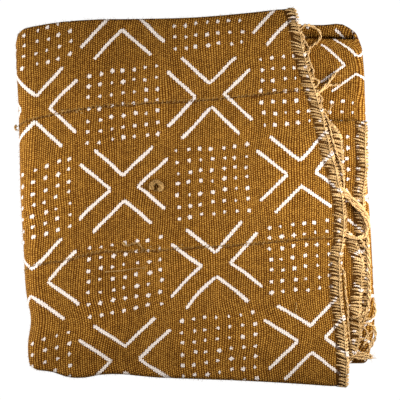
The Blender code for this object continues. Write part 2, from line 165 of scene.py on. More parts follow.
LOWER_EDGES = {  # panel: bottom edge as x, y; top edge as x, y
    "fourth": (
        ((-0.18, -0.167), (0.17, -0.165)),
        ((-0.18, 0.167), (0.05, 0.174), (0.125, 0.1760), (0.147, 0.1755), (0.156, 0.169), (0.165, 0.161)),
    ),
    "third": (((-0.18, -0.168), (0.17, -0.164)), ((-0.18, 0.166), (0.17, 0.1605))),
    "second": (((-0.18, -0.168), (0.12, -0.170), (0.17, -0.1665)), ((-0.18, 0.167), (0.17, 0.164))),
}
PANEL_STEPS = ((0.14, 0.34), (0.40, 0.60), (0.64, 0.86))  # shares of the height
EDGE_DROOP = {  # share of the height, reach
    "bottom": (0.11, 0.022), "top": (0.05, 0.018), "ends": (0.04, 0.040), "left": (0.06, 0.035),
}
LEFT_EDGE = -0.184
OVERHANG_DROOP = {"bottom": (0.12, -0.170, -0.196), "top": (0.16, 0.170, 0.205)}  # share, from y, to y
HOLLOWS = (  # x, y, radius, share of the height
    (0.045, 0.035, 0.045, 0.040), (-0.020, -0.100, 0.055, 0.030), (-0.110, 0.090, 0.050, 0.025),
    (0.100, -0.120, 0.050, 0.030), (0.090, 0.120, 0.040, 0.030),
)
RUMPLES = (  # share of the height, waves a metre along x and y, shift: how unevenly the stack lies
    (0.0055, 9.0, 5.0, 0.4), (0.0045, -6.0, 12.0, 1.9), (0.0035, 17.0, -9.0, 3.1), (0.003, 11.0, 22.0, 5.2),
    (0.0024, -27.0, 15.0, 0.9), (0.0018, 34.0, 29.0, 2.2), (0.0014, -41.0, 38.0, 4.0),
)
STATIONS = {"first": 140, "outer": 36, "fourth": 40, "right": 22, "third": 56, "inner": 14, "second": 52}


def along(table, places):
    """A smooth curve through a table's points: cubic pieces with slopes taken from the neighbours."""
    at, value = np.array(table, float).T
    slope = np.gradient(value, at)
    places = np.clip(np.asarray(places, float), at[0], at[-1])
    i = np.clip(np.searchsorted(at, places, side="right") - 1, 0, len(at) - 2)
    width = at[i + 1] - at[i]
    f = (places - at[i]) / width
    start = (1 + 2 * f) * (1 - f) ** 2 * value[i] + f * (1 - f) ** 2 * width * slope[i]
    end = f * f * (3 - 2 * f) * value[i + 1] - f * f * (1 - f) * width * slope[i + 1]
    return start + end


def ramp(value, low, high):
    """0 below low, 1 above high, and smooth between."""
    f = np.clip((value - low) / (high - low), 0, 1)
    return f * f * (3 - 2 * f)


def across(u):
    """The fold in three: share of the depth and level, at a distance u from the top turn down the
    middle third. Below 0 it is the inner flap, past the middle third the bottom turn and outer flap."""
    top, bottom = FOLDED_DEPTH / 2 - LAYER_PITCH / 2, -FOLDED_DEPTH / 2 + LAYER_PITCH
    inner, turning = u < -TOP_TURN, (u >= -TOP_TURN) & (u < 0)
    past = u - MIDDLE_LENGTH
    under, outer = (past > 0) & (past <= BOTTOM_TURN), past > BOTTOM_TURN
    top_angle = math.pi * (u + TOP_TURN) / TOP_TURN
    bottom_angle = math.pi * past / BOTTOM_TURN
    y = np.select(
        [inner, turning, under, outer],
        [
            top + u + TOP_TURN,
            top + LAYER_PITCH / 2 * np.sin(top_angle),
            bottom - LAYER_PITCH * np.sin(bottom_angle),
            bottom + past - BOTTOM_TURN,
        ],
        top - u,
    )
    level = np.select(
        [inner, turning, under, outer],
        [
            0 * u,
            LAYER_PITCH / 2 * (1 - np.cos(top_angle)),
            LAYER_PITCH * np.cos(bottom_angle),
            0 * u - LAYER_PITCH,
        ],
        LAYER_PITCH,
    )
    return y / FOLDED_DEPTH + 0.5, level


def end_lines(u, share):
    """x of the cloth's two ends at a distance u: the end of the top panel, and of the panel below."""
    on_inner = ramp(-u, 0, TOP_TURN)
    on_outer = ramp(u - MIDDLE_LENGTH, 0, BOTTOM_TURN)
    top_layer = along(TOP_LAYER_END, share)
    upper = top_layer - UPPER_HIDDEN_STEP * on_inner
    upper += (along(UPPER_FLAP_END, share) - top_layer) * on_outer
    hidden = top_layer - LOWER_HIDDEN_STEP
    lower = hidden + (along(LOWER_FLAP_END, share) - hidden) * on_outer
    return upper, lower


def edge_lines(x, height):
    """The y of the bottom and top edges at x, for a point at this height in the flat stack."""
    tables = [*LOWER_EDGES.values(), (BOTTOM_EDGE, TOP_EDGE)]
    lines = [(along(bottom, x), along(top, x)) for bottom, top in tables]
    low, high = lines[0]
    for (start, end), (next_low, next_high), (last_low, last_high) in zip(
        PANEL_STEPS, lines[1:], lines
    ):
        share = ramp(height / STACK_TOP, start, end)
        low = low + (next_low - last_low) * share
        high = high + (next_high - last_high) * share
    return low, high


def settled(x, y, low, high, height):
    """The height at a place of the settled stack: the flat stack's height times a share, from which
    bell-shaped droops at the edges, ramps at the overhangs and round hollows are taken, plus waves."""
    share = 1
    edges = {"bottom": y - low, "top": high - y, "ends": x - TOP_LAYER_END[0][1], "left": x - LEFT_EDGE}
    for edge, away in edges.items():
        drop, reach = EDGE_DROOP[edge]
        share = share - drop * np.exp(-((away / reach) ** 2))
    for drop, start, end in OVERHANG_DROOP.values():
        share = share - drop * ramp(abs(y), abs(start), abs(end)) * (y * start > 0)
    for hollow_x, hollow_y, radius, depth in HOLLOWS:
        share = share - depth * np.exp(-((x - hollow_x) ** 2 + (y - hollow_y) ** 2) / radius**2)
    for size, along_x, along_y, shift in RUMPLES:
        share = share + size * np.sin(2 * math.pi * (along_x * x + along_y * y) + shift)
    rest = CLOTH_THICKNESS / 2
    return rest + (height - rest) * share


def place(share, flat_x, height):
    """A point of the folded stack: flat_x is measured from the left fold, height from the floor."""
    x = along(LEFT_FOLD, share) + flat_x
    low, high = edge_lines(x, height)
    y = low + share * (high - low)
    return np.stack([x - MIDDLE_X, y - MIDDLE_Y, settled(x, y, low, high, height)], axis=-1)


def panel_run(share):
    """The flat length of a hidden panel, from the left folds' centre to the right fold's."""
    depth = along(RIGHT_FOLD, share) - along(LEFT_FOLD, share)
    return depth - INNER_RADIUS - LAYER_PITCH - LEFT_CENTRE


def lengthways(share, level, upper_end, lower_end):
    """The two folds in half, for rows across the cloth: flat x, height and distance along the cloth
    of each station, from the upper end round the outer fold and on to the lower end. A panel is
    straight, with its stations crowded by a power, and a fold is half a circle."""
    run = panel_run(share)
    left = np.full_like(share, LEFT_CENTRE)
    right = left + run
    outer_bend, inner_bend = math.pi * OUTER_RADIUS, math.pi * INNER_RADIUS

    def flat(panel, start, end, height, begins, crowd=1.0):
        f = (np.arange(STATIONS[panel] + 1) / STATIONS[panel])[:, None] ** crowd
        x = start + (end - start) * f
        return x, np.broadcast_to(height, x.shape), begins - abs(x - start)

    def turn(fold, centre, middle, radius, start, sweep, begins, bend):
        f = (np.arange(1, STATIONS[fold]) / STATIONS[fold])[:, None]
        angle = np.radians(start + sweep * f)
        x = centre + radius * np.cos(angle)
        return x, middle + radius * np.sin(angle), begins - bend * f + 0 * x

    fourth = -outer_bend + 0 * share
    third = fourth - run - inner_bend
    second = third - run - inner_bend
    pieces = [
        flat("first", upper_end, left, STACK_MIDDLE + OUTER_RADIUS + level, upper_end - left),
        turn("outer", left, STACK_MIDDLE, OUTER_RADIUS + level, 90, 180, 0 * share, outer_bend),
        flat("fourth", left, right, STACK_MIDDLE - OUTER_RADIUS - level, fourth, 0.8),
        turn("right", right, RIGHT_CENTRE_HEIGHT, INNER_RADIUS + level, -90, 180, fourth - run, inner_bend),
        flat("third", right, left, STACK_MIDDLE - INNER_RADIUS + level, third, 1.5),
        turn("inner", left, STACK_MIDDLE, INNER_RADIUS - level, 270, -180, third - run, inner_bend),
        flat("second", left, lower_end, STACK_MIDDLE + INNER_RADIUS - level, second, 0.7),
    ]
    return (np.concatenate(parts) for parts in zip(*pieces))


def stations(u):
    """Flat x, height and distance along the cloth of every station, for rows at distances u."""
    share, level = across(u)
    upper, lower = end_lines(u, share)
    left = along(LEFT_FOLD, share)
    return lengthways(share, level, upper - left, lower - left)


def seam_place(name, flat_x, height):
    """The distance u of a seam on the middle third, which runs askew to the folds on the top panel."""
    x = along(LEFT_FOLD, 0.7) + flat_x
    low, high = edge_lines(x, height)
    on_top = ramp(height / STACK_TOP, 0.1, 0.95)
    past = STRIP_WIDTH if name == "lower" else 0
    hidden = (UPPER_SEAM[0][1] + past) / LEFT_DEPTH * FOLDED_DEPTH
    shown = (along(UPPER_SEAM, x) + past) / (high - low) * FOLDED_DEPTH
    return hidden * (1 - on_top) + shown * on_top - LAYER_PITCH / 2


def strip_edges():
    """The u of each strip's two sewn edges and of the ends of the turns inside it."""
    inner, outer = INNER_FLAP_WIDTHS, OUTER_FLAP_WIDTHS
    second_seam = -TOP_TURN - inner["top_edge_to_seam"]
    first_seam = second_seam - inner["strip"]
    fifth_seam = MIDDLE_LENGTH + BOTTOM_TURN + outer["bottom_edge_to_seam"]
    sixth_seam = fifth_seam + outer["strip"]
    top_turn, bottom_turn = (-TOP_TURN, 0.0), (MIDDLE_LENGTH, MIDDLE_LENGTH + BOTTOM_TURN)
    return [
        ((first_seam - inner["strip"], first_seam), (26,)),
        ((first_seam, second_seam), (26,)),
        ((second_seam, *top_turn, "upper"), (16, 9, 36)),
        (("upper", "lower"), (60,)),
        (("lower", *bottom_turn, fifth_seam), (50, 12, 3)),
        ((fifth_seam, sixth_seam), (30,)),
        ((sixth_seam, sixth_seam + outer["last_strip"]), (30,)),
    ]


# The pattern's cells: a column is about 89 mm and a row about 85 mm on the top panel, a little askew.
COLUMN_OF = (1.852, 11.19, 0.34, 2.94)  # at the drawing's middle; a metre of x, of y, of x times y
ROW_OF = (2.215, 1.04, -11.77, -1.50)
LOWER_COLUMN_PITCH = 0.0976
LOWER_ROW_PITCH = 0.0755
LOWER_ROW_ONE = 0.0263
FLAP_ROW_SHIFT = 0.70
DRAWN_TO = -0.03  # distances along the cloth, less than 0 past the left fold
LOWER_FROM = -0.32
SECOND_PANEL_FROM = -0.45
SECOND_PANEL_STRETCH = 0.25
STRAIGHT_RIGHT = ((0.0, 0.1765), (0.26, 0.174), (0.57, 0.169), (0.81, 0.166), (1.0, 0.1645))  # share, x


def past_straight_fold(s, share):
    """The distance along the cloth as it would be with a right fold that isn't rounded at its
    corners, so that the pattern isn't bent by them on the panels past that fold."""
    turn_at = -(math.pi * OUTER_RADIUS + panel_run(share))
    past = np.clip((turn_at - s) / (math.pi * INNER_RADIUS), 0, 1)
    return s - 2 * (along(STRAIGHT_RIGHT, share) - along(RIGHT_FOLD, share)) * past


def pattern(s, u, share, x_left, flat_x, height):
    """The pattern's column and row at a point of the flat cloth, and 1 on the top panel. There both
    follow the drawing, and past the outer fold they go on in even steps of another length."""
    low, high = edge_lines(x_left + flat_x, height)
    s = past_straight_fold(s, share)
    x = x_left + LEFT_CENTRE + np.maximum(s, DRAWN_TO)
    y = low + (1 - (u + LAYER_PITCH / 2) / FOLDED_DEPTH) * (high - low)
    columns, rows = (
        middle + by_x * x + by_y * y + by_both * x * y for middle, by_x, by_y, by_both in (COLUMN_OF, ROW_OF)
    )
    columns = columns + np.minimum(s - DRAWN_TO, 0) / LOWER_COLUMN_PITCH
    columns = columns + SECOND_PANEL_STRETCH * np.minimum(s - SECOND_PANEL_FROM, 0)
    on_flap = (u < -TOP_TURN * 0.6) | (u > MIDDLE_LENGTH + BOTTOM_TURN / 2)
    lower_rows = 1 + (u - LOWER_ROW_ONE) / LOWER_ROW_PITCH + FLAP_ROW_SHIFT * on_flap
    on_top = ramp(s, LOWER_FROM, DRAWN_TO)
    return np.stack([columns, rows * on_top + lower_rows * (1 - on_top), on_top], axis=-1)


def strip_grid(knots, steps):
    """Points, flat-cloth places and pattern places of a strip: rows across it, stations along it."""
    flat_x, height, _ = (part[:, 0] for part in stations(np.array([0.0])))
    lines = [
        seam_place(knot, flat_x, height) if isinstance(knot, str) else np.full_like(flat_x, knot)
        for knot in knots
    ]
    rows = [lines[0][None]]
    for start, end, count in zip(lines, lines[1:], steps):
        f = (np.arange(1, count + 1) / count)[:, None]
        rows.append(start + (end - start) * f)
    u = np.concatenate(rows)
    points, flat, paint = [], [], []
    for row in u:
        share, _ = across(row)
        xs, heights, s = (np.diagonal(part) for part in stations(row))
        points.append(place(share, xs, heights))
        flat.append(np.stack([s, row, 0 * s], axis=-1))
        paint.append(pattern(s, row, share, along(LEFT_FOLD, share), xs, heights))
    return np.array(points), np.array(flat), np.array(paint)


def sheet_object(name, points, attributes, materials):
    """An open grid surface with named vectors at its points."""
    rows, columns = points.shape[:2]
    mesh = bpy.data.meshes.new(name)
    corner = (np.arange(rows - 1)[:, None] * columns + np.arange(columns - 1)).ravel()
    faces = np.stack([corner, corner + 1, corner + columns + 1, corner + columns], axis=1)
    mesh.vertices.add(rows * columns)
    mesh.vertices.foreach_set("co", points.ravel())
    mesh.loops.add(faces.size)
    mesh.loops.foreach_set("vertex_index", faces.ravel())
    mesh.polygons.add(len(faces))
    mesh.polygons.foreach_set("loop_start", np.arange(0, faces.size, 4))
    mesh.update(calc_edges=True)
    for key, values in attributes.items():
        layer = mesh.attributes.new(key, "FLOAT_VECTOR", "POINT")
        layer.data.foreach_set("vector", values.ravel())
    mesh.shade_smooth()
    for material in materials:
        mesh.materials.append(material)
    made = bpy.data.objects.new(name, mesh)
    bpy.context.scene.collection.objects.link(made)
    return made


class Shader:
    """Short names for the nodes of one material. Values are sockets or plain numbers."""

    def __init__(self, name):
        self.material = bpy.data.materials.new(name)
        self.material.use_nodes = True
        self.tree = self.material.node_tree
        self.surface = self.tree.nodes["Principled BSDF"]

    def node(self, kind, inputs=(), **settings):
        made = self.tree.nodes.new(kind)
        for key, value in settings.items():
            setattr(made, key, value)
        for key, value in dict(inputs).items():
            self.feed(made.inputs[key], value)
        return made

    def feed(self, socket, value):
        if isinstance(value, bpy.types.NodeSocket):
            self.tree.links.new(value, socket)
        else:
            socket.default_value = value

    def math(self, operation, *values, clamp=False):
        made = self.node("ShaderNodeMath", operation=operation, use_clamp=clamp)
        for socket, value in zip(made.inputs, values):
            self.feed(socket, value)
        return made.outputs[0]

    def sum(self, *values):
        total = values[0]
        for value in values[1:]:
            total = self.math("ADD", total, value)
        return total

    def times(self, first, second):
        return self.math("MULTIPLY", first, second)

    def less(self, first, second):
        return self.math("SUBTRACT", first, second)

    def peak(self, count):
        """0 at each whole number and 1 half way between."""
        fraction = self.math("FRACT", count)
        return self.less(1.0, self.math("ABSOLUTE", self.less(self.times(fraction, 2.0), 1.0)))

    def vector(self, operation, *values):
        made = self.node("ShaderNodeVectorMath", operation=operation)
        for socket, value in zip(made.inputs, values):
            self.feed(socket, value)
        scalar = operation in ("DOT_PRODUCT", "LENGTH", "DISTANCE")
        return made.outputs["Value" if scalar else "Vector"]

    def scaled(self, vector, amount):
        made = self.node("ShaderNodeVectorMath", {"Vector": vector, "Scale": amount}, operation="SCALE")
        return made.outputs["Vector"]

    def joined(self, x, y, z=0.0):
        return self.node("ShaderNodeCombineXYZ", {"X": x, "Y": y, "Z": z}).outputs[0]

    def split(self, vector):
        return tuple(self.node("ShaderNodeSeparateXYZ", {"Vector": vector}).outputs)

    def attribute(self, name):
        return self.node("ShaderNodeAttribute", attribute_name=name).outputs["Vector"]

    def noise(self, vector, scale, detail):
        made = self.node("ShaderNodeTexNoise", {"Vector": vector, "Scale": scale, "Detail": detail})
        return made.outputs["Fac"], made.outputs["Color"]

    def flat_noise(self, scale, detail):
        """Cloudiness over the flat cloth, from 0 to 1, with this many clouds a metre."""
        return self.noise(self.attribute("flat"), scale, detail)[0]

    def random(self, vector):
        made = self.node("ShaderNodeTexWhiteNoise", {"Vector": vector}, noise_dimensions="3D")
        return self.split(made.outputs["Color"])

    def smooth(self, value, low, high):
        made = self.node(
            "ShaderNodeMapRange",
            {"Value": value, "From Min": low, "From Max": high},
            interpolation_type="SMOOTHSTEP",
        )
        return made.outputs["Result"]

    def even(self, i, j):
        """1 in the dots' cells of the chequer and 0 in the crosses'."""
        return self.less(1.0, self.math("ABSOLUTE", self.math("MODULO", self.sum(i, j), 2.0)))

    def blend(self, factor, first, second):
        made = self.node("ShaderNodeMix", data_type="RGBA")
        for k, value in ((0, factor), (6, first), (7, second)):
            self.feed(made.inputs[k], value)
        return made.outputs[2]

    def dimmed(self, colour, value):
        return self.node("ShaderNodeHueSaturation", {"Color": colour, "Value": value}).outputs["Color"]

    def finished(self, colour, height, depth, strength, roughness, shine):
        """The material with its colour, its bumps of this depth in metres, and its dull surface."""
        bump = self.node("ShaderNodeBump", {"Height": height, "Distance": depth, "Strength": strength})
        for key, value in (
            ("Normal", bump.outputs["Normal"]), ("Base Color", colour), ("Roughness", roughness),
            ("Specular IOR Level", shine),
        ):
            self.feed(self.surface.inputs[key], value)
        return self.material


RIB_PITCH = 0.00235
PICK_PITCH = 0.0022
# The rib tops' colour is a painted highlight and the furrows' a painted shade; the middle is the cloth's own
# mustard brown.
RIB_HIGHLIGHT = (0.485, 0.255, 0.050, 1)
RIB_MIDDLE = (0.222, 0.087, 0.009, 1)
RIB_SHADE = (0.062, 0.018, 0.002, 1)
# Painted shade on the cloth under the whipping yarn, seen in the gaps between its turns.
SHADE_UNDER_YARN = (0.055, 0.020, 0.003, 1)
PAINT_WHITE = (0.84, 0.74, 0.67, 1)
CELL_MM = (88.0, 85.0)
LOWER_CELL_MM = (97.6, 75.5)
LOWER_CROSS_SHRINK = 1.25
CROSS_GAP_MM = (14.5, 13.0)
STROKE_HALF_MM = 1.6
DOT_PITCH_MM = (11.5, 11.1)
DOT_RADIUS_MM = 1.8
STROKE_REACH_MM = {"upright": (27.0, 25.0), "sideways": (27.0, 24.5)}
DOT_SHIFT_MM = 2.0
DOT_LEAN = 0.25  # the fall of the dots' rows towards the left fold, in the first column of blocks
DOT_LEAN_FADE = 0.28
DOT_BLOCK_SIDE_MM = 34.0
OUTSIDE_MM = 20.0
BRUSH_EDGE_MM = 0.35
RIDGE_REACH = (0.0026, 0.0008)
CREASE_REACH = (0.0015, 0.0004)
CREASE_SWAY = 0.0050
WHIPPED_WIDTH = 0.012


def weave(shader):
    """The weave's height from 0 to 1: ribs a rib pitch apart, each a column of short bumps that lie
    half a bump off those beside them, with slow and fine unevenness."""
    plus, times = shader.sum, shader.times
    wander = shader.flat_noise(10.0, 2.0)
    s, u, _ = shader.split(shader.attribute("flat"))
    ribs = plus(shader.math("DIVIDE", s, RIB_PITCH), times(u, 13.0), times(wander, 7.0))
    rib_number = shader.math("FLOOR", ribs)
    one = shader.random(shader.joined(rib_number, 3.0, 1.0))
    half_off = times(shader.math("MODULO", rib_number, 2.0), 0.5)
    picks = plus(shader.math("DIVIDE", u, PICK_PITCH), half_off, times(one[0], 0.3), times(wander, 4.0))
    stitch = shader.random(shader.joined(rib_number, shader.math("FLOOR", picks), 7.0))
    rib_round = shader.smooth(shader.peak(ribs), 0.0, 0.85)
    pick_round = shader.smooth(shader.peak(picks), 0.0, 0.8)
    height = times(rib_round, plus(0.35, times(pick_round, 0.65)))
    return {"height": height, "stitch": stitch[0], "tone": one[1]}


def painted_cell(shader):
    """The cell of the pattern round a point, a little warped: the point's column and row, the cell's
    numbers, its width and height, and how far the point lies from its middle, in millimetres."""
    paint = shader.attribute("paint")
    _, warp = shader.noise(paint, 2.2, 2.0)
    shift = shader.scaled(shader.vector("SUBTRACT", warp, (0.5, 0.5, 0.5)), 0.055)
    _, _, on_top = shader.split(paint)
    p, q, _ = shader.split(shader.vector("ADD", paint, shift))
    i, j = shader.math("ROUND", p), shader.math("ROUND", q)
    wide, tall = (
        shader.sum(low, shader.times(on_top, high - low)) for low, high in zip(LOWER_CELL_MM, CELL_MM)
    )
    a, b = shader.times(shader.less(p, i), wide), shader.times(shader.less(q, j), tall)
    return {"on_top": on_top, "q": q, "i": i, "j": j, "tall": tall, "a": a, "b": b}


def chevrons(shader, cell, rough):
    """The distance in millimetres from a point to the edge of a cross's strokes: in each quarter of a
    cell two straight strokes lead out from the cross's middle lines, less than 0 inside them."""
    plus, times, less, both = shader.sum, shader.times, shader.less, shader.joined
    i, j, a, b = (cell[key] for key in "ijab")
    quarter = plus(shader.math("SIGN", a), times(shader.math("SIGN", b), 3.0))
    one, two, three = shader.random(both(i, j, quarter))
    spot = both(shader.math("ABSOLUTE", a), shader.math("ABSOLUTE", b))
    spot = shader.scaled(spot, plus(LOWER_CROSS_SHRINK, times(cell["on_top"], 1 - LOWER_CROSS_SHRINK)))

    def arm(start, reach, nudge):
        moved = (times(less(by, 0.35), far) for by, far in zip((one, two), nudge))
        begin = both(*(plus(at, move) for at, move in zip(start, moved)))
        run = both(plus(reach[0], times(less(three, 0.5), 4.0)), plus(reach[1], times(less(one, 0.5), 4.5)))
        away = shader.vector("SUBTRACT", spot, begin)
        products = shader.vector("DOT_PRODUCT", away, run), shader.vector("DOT_PRODUCT", run, run)
        share = shader.math("DIVIDE", *products, clamp=True)
        return shader.vector("LENGTH", shader.vector("SUBTRACT", away, shader.scaled(run, share)))

    upright = arm((0.4, CROSS_GAP_MM[1]), STROKE_REACH_MM["upright"], (2.0, 1.5))
    sideways = arm((CROSS_GAP_MM[0], 0.4), STROKE_REACH_MM["sideways"], (1.5, 2.0))
    half = times(plus(0.36, times(rough, 0.56), times(shader.flat_noise(70.0, 1.0), 0.72)), STROKE_HALF_MM)
    return plus(less(shader.math("MINIMUM", upright, sideways), half), times(shader.even(i, j), OUTSIDE_MM))


def dot_block(shader, cell, rough):
    """The distance in millimetres from a point to the edge of the nearest of a block's seven by seven
    dots, less than 0 inside it. The rows fall towards the left fold."""
    plus, times, less, both = shader.sum, shader.times, shader.less, shader.joined
    i, a = cell["i"], cell["a"]
    fade = shader.math("POWER", DOT_LEAN_FADE, shader.math("MAXIMUM", i, 0.0))
    lean = times(times(fade, DOT_LEAN), cell["on_top"])
    q = plus(cell["q"], shader.math("DIVIDE", times(lean, less(a, DOT_BLOCK_SIDE_MM)), cell["tall"]))
    j = shader.math("ROUND", q)
    sides = a, times(less(q, j), cell["tall"])
    nearest = (shader.math("ROUND", times(side, 1 / pitch)) for side, pitch in zip(sides, DOT_PITCH_MM))
    k, m = (shader.math("MAXIMUM", shader.math("MINIMUM", number, 3.0), -3.0) for number in nearest)
    drawn = shader.random(both(plus(times(i, 11.0), k), plus(times(j, 11.0), m), 5.0))
    from_dot = both(*(
        less(side, plus(times(number, pitch), times(less(by, 0.5), DOT_SHIFT_MM)))
        for side, number, pitch, by in zip(sides, (k, m), DOT_PITCH_MM, drawn)
    ))
    size = times(plus(0.45, times(drawn[2], 0.5), times(rough, 0.5)), DOT_RADIUS_MM)
    in_cross = less(1.0, shader.even(i, j))
    return plus(less(shader.vector("LENGTH", from_dot), size), times(in_cross, OUTSIDE_MM))


def painted(shader, weave_height):
    """1 where the off-white paint lies: a chequer of crosses of four chevrons and of blocks of dots,
    each one placed and sized a little differently, with edges broken by the weave."""
    cell, rough = painted_cell(shader), shader.flat_noise(420.0, 2.0)
    nearest = shader.math("MINIMUM", chevrons(shader, cell, rough), dot_block(shader, cell, rough))
    edge = shader.sum(nearest, shader.times(shader.less(0.5, weave_height), 0.9))
    return shader.smooth(edge, BRUSH_EDGE_MM, -BRUSH_EDGE_MM)


def cloth_material(name, with_paint):
    """Coarse cotton in mustard brown: a painted highlight on the rib tops and painted shade in the furrows,
    a slow fade, the sewn edges' uneven ridges with a painted highlight, a wavy crease beside them with
    painted shade, the paint, and painted shade on the cloth under the whipping yarn."""
    shader = Shader(name)
    plus, times = shader.sum, shader.times
    threads = weave(shader)
    # The colour follows the weave's height: a painted highlight on the rib tops and painted shade in the
    # furrows, mixed with the threads' own uneven tones.
    lit = plus(
        times(threads["height"], 0.80),
        times(threads["stitch"], 0.22),
        times(threads["tone"], 0.10),
        times(shader.less(shader.flat_noise(700.0, 1.0), 0.5), 0.7),
    )
    tones = shader.node("ShaderNodeValToRGB", {"Fac": lit})
    low, high = tones.color_ramp.elements
    low.position, low.color = 0.22, RIB_SHADE
    high.position, high.color = 1.05, RIB_HIGHLIGHT
    tones.color_ramp.elements.new(0.58).color = RIB_MIDDLE
    fade = plus(0.55, times(shader.flat_noise(9.0, 3.0), 0.52), times(shader.flat_noise(55.0, 2.0), 0.38))
    colour = shader.dimmed(tones.outputs["Color"], fade)
    from_end, from_first, from_last = shader.split(shader.attribute("edge"))
    bumps = shader.flat_noise(240.0, 1.0)
    near = shader.math("MINIMUM", from_first, from_last)
    # The sewn edges' ridges: raised bumps, lightened towards the rib tops' colour as a painted highlight.
    ridge = times(shader.smooth(near, *RIDGE_REACH), shader.smooth(bumps, 0.40, 0.60))
    colour = shader.blend(times(ridge, 0.30), colour, RIB_HIGHLIGHT)
    # A wavy crease beside each sewn edge: a dip in the bumps, and painted shade in the colour.
    crease_at = times(plus(shader.flat_noise(75.0, 1.0), -0.32), CREASE_SWAY)
    crease = shader.smooth(shader.math("ABSOLUTE", shader.less(from_first, crease_at)), *CREASE_REACH)
    colour = shader.blend(times(crease, times(shader.smooth(bumps, 0.25, 0.55), 0.88)), colour, RIB_SHADE)
    height = plus(threads["height"], times(ridge, 1.2), times(crease, -1.0))
    if with_paint:
        mask = painted(shader, threads["height"])
        # The paint is dimmed in the weave's furrows too: painted shade.
        white = shader.dimmed(PAINT_WHITE, plus(0.84, times(threads["height"], 0.16)))
        colour = shader.blend(mask, colour, white)
        height = plus(height, times(mask, 0.35))
    # Painted shade on the cloth's end under the whipping yarn.
    shade_under_yarn = shader.smooth(from_end, WHIPPED_WIDTH, WHIPPED_WIDTH - 0.002)
    colour = shader.blend(times(shade_under_yarn, 0.92), colour, SHADE_UNDER_YARN)
    return shader.finished(colour, height, 0.0007, 0.5, 0.95, 0.04)


FACE = cloth_material("cloth_face", True)
REVERSE = cloth_material("cloth_reverse", False)
CORE_THICKNESS = 0.0010


def make_strip(number, knots, steps):
    """One strip as a sheet with thickness, thinner where the whipping goes round its ends. Returns
    the points of its middle surface."""
    points, flat, paint = strip_grid(knots, steps)
    s, u = flat[..., 0], flat[..., 1]
    from_end = np.minimum(abs(s - s[:, :1]), abs(s - s[:, -1:]))
    edge = np.stack([from_end, u - u[:1], u[-1:] - u], axis=-1)
    attributes = {"flat": flat, "paint": paint, "edge": edge}
    strip = sheet_object(f"woven_strip_{number}", points, attributes, [FACE, REVERSE])
    thick = strip.vertex_groups.new(name="full_thickness")
    share = CORE_THICKNESS / CLOTH_THICKNESS
    weight = share + (1 - share) * ramp(from_end, WHIPPED_WIDTH - 0.001, WHIPPED_WIDTH + 0.003)
    for value in np.unique(np.round(weight, 2)):
        at = np.flatnonzero(np.round(weight, 2).ravel() == value)
        thick.add([int(k) for k in at], float(value), "REPLACE")
    solidify = strip.modifiers.new("thickness", "SOLIDIFY")
    solidify.thickness = CLOTH_THICKNESS
    solidify.offset = 0
    solidify.vertex_group = thick.name
    solidify.material_offset = 1
    solidify.material_offset_rim = 1
    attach(strip, "root")
    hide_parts(f"strip_{number}")
    return points


grids = [make_strip(number, *edges) for number, edges in enumerate(strip_edges(), 1)]

# Whipping: thick undyed cotton yarn sewn over and over round both cut ends of the cloth, through
# all the layers' edges, with its loose ends left hanging where a length of yarn ran out.
STITCH_PITCH = 0.0030
STITCH_HALF_WIDTH = (0.00095, 0.00135)
STITCH_HALF_THICKNESS = 0.00042
TOP_STITCH_HALF_THICKNESS = 0.00075
STITCH_REACH = (0.0080, 0.0130)
STITCH_SIDES = 6
STITCH_PATH = (  # share of the reach from the edge, degrees turned round it
    (1.0, 0), (0.88, 0), (0.76, 0), (0.64, 0), (0.52, 0), (0.40, 0), (0.26, 0), (0.12, 0), (0.04, 20),
    (0.0, 90), (0.04, 160), (0.35, 180), (0.7, 180), (1.0, 180),
)
RIM_HALF_THICKNESS = 0.00055
TAIL_STEP = 0.0008
TAIL_TURN = 0.0065
TAIL_FLUFF = 1.22
TIP_FIBRES = 7
TIP_REACH = (0.0025, 0.0055)
TIP_HALF_THICKNESS = 0.00018
HAIR_REACH = (0.003, 0.007)
HAIR_HALF_THICKNESS = 0.00014
HAIR_POINTS = 9
LOWEST_YARN = 0.0001
NO_MARK = 50.5  # a place on the pattern where no mark lies
UP = np.array([0.0, 0.0, 1.0])
YARN_LIGHT = (0.76, 0.505, 0.235, 1)
YARN_DARK = (0.215, 0.105, 0.024, 1)


def tubes(centres, first_axis, second_axis, sides):
    """Points and faces of closed tubes: centres and the two half axes are arrays of tube, place
    along it, and x, y, z, and each ring is an ellipse on the two half axes."""
    count, length = centres.shape[:2]
    k = np.arange(sides)
    angle = 2 * math.pi * k[:, None] / sides
    points = centres[:, :, None] + np.cos(angle) * first_axis[:, :, None]
    points = points + np.sin(angle) * second_axis[:, :, None]
    ring, after = np.arange(length - 1)[:, None] * sides, (k + 1) % sides
    quad = np.stack([ring + k, ring + after, ring + sides + after, ring + sides + k], axis=-1).reshape(-1, 4)
    base = np.arange(count)[:, None, None] * length * sides
    quads = (base + quad).reshape(-1, 4)
    start_cap = base[:, 0] + k[::-1]
    end_cap = base[:, 0] + (length - 1) * sides + k
    return points.reshape(-1, 3), [*quads.tolist(), *start_cap.tolist(), *end_cap.tolist()]


def with_values(made, sides, length, tone, flat=None, paint=None):
    """Tubes' points and faces with the named vectors that the yarn's material reads: the length and
    tone of each ring, and its place on the flat cloth and on the pattern where it is painted."""
    points, faces = made
    yarn = np.stack(np.broadcast_arrays(length, tone, 0.0), axis=-1)
    flat = yarn if flat is None else flat
    paint = np.full(yarn.shape, NO_MARK) if paint is None else paint
    values = {"flat": flat, "paint": paint, "yarn": yarn}
    for name, value in values.items():
        values[name] = np.repeat(value.reshape(-1, 3), sides, axis=0)
    return points, faces, values


